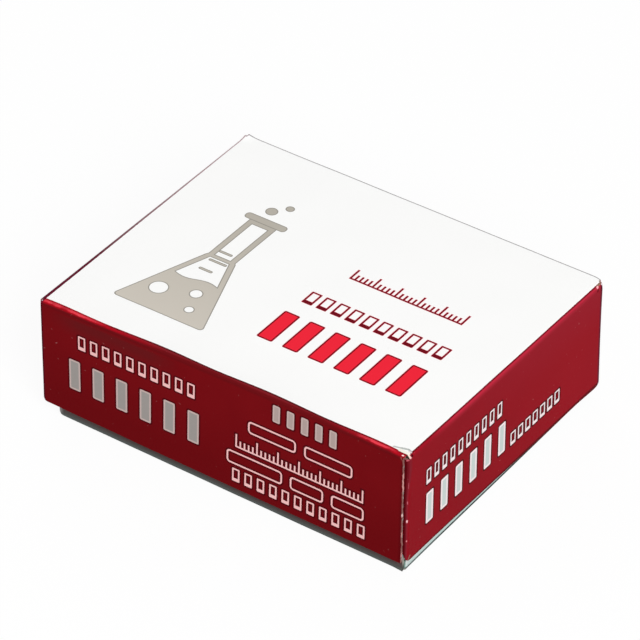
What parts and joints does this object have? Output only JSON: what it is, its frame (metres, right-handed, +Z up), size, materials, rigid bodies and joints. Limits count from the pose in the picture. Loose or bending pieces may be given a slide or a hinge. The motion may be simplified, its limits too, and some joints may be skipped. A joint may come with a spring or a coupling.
{
  "type": "microscope slide box",
  "caption": "Folded paperboard box with a lift-off lid over a shallower-sided tray that holds a row of glass microscope slides on edge.",
  "frame": {"origin": "under the middle of the lid, on the plane that the tray stands on", "axes": "+X along the slides and the box's long side, +Y along the row of slides, +Z up, the way that the lid lifts"},
  "size_m": [0.082, 0.0666, 0.0268],
  "materials": {
    "lid_board": "gloss-coated print on white board: red walls, white top",
    "tray_board": "smooth white board",
    "slide_glass": "clear polished faces, fine-ground edges, one frosted end"
  },
  "bodies": {
    "tray_with_slides": {"tray": "tray_board", "slide_01": "slide_glass", "slide_02": "slide_glass", "slide_03": "slide_glass", "slide_04": "slide_glass", "slide_05": "slide_glass", "slide_06": "slide_glass", "slide_07": "slide_glass", "slide_08": "slide_glass", "slide_09": "slide_glass", "slide_10": "slide_glass", "slide_11": "slide_glass", "slide_12": "slide_glass", "slide_13": "slide_glass", "slide_14": "slide_glass", "slide_15": "slide_glass", "slide_16": "slide_glass", "slide_17": "slide_glass", "slide_18": "slide_glass", "slide_19": "slide_glass", "slide_20": "slide_glass", "slide_21": "slide_glass", "slide_22": "slide_glass", "slide_23": "slide_glass", "slide_24": "slide_glass", "slide_25": "slide_glass", "slide_26": "slide_glass", "slide_27": "slide_glass", "slide_28": "slide_glass", "slide_29": "slide_glass", "slide_30": "slide_glass", "slide_31": "slide_glass", "slide_32": "slide_glass", "slide_33": "slide_glass", "slide_34": "slide_glass", "slide_35": "slide_glass", "slide_36": "slide_glass", "slide_37": "slide_glass", "slide_38": "slide_glass", "slide_39": "slide_glass", "slide_40": "slide_glass", "slide_41": "slide_glass", "slide_42": "slide_glass", "slide_43": "slide_glass", "slide_44": "slide_glass", "slide_45": "slide_glass", "slide_46": "slide_glass", "slide_47": "slide_glass", "slide_48": "slide_glass", "slide_49": "slide_glass", "slide_50": "slide_glass"},
    "lid": {"lid": "lid_board"}
  },
  "joints": [
    {"name": "lid_lift", "type": "slide", "parent": "tray_with_slides", "child": "lid", "axis": [0, 0, 1], "range_m": [0, 0.03]}
  ]
}
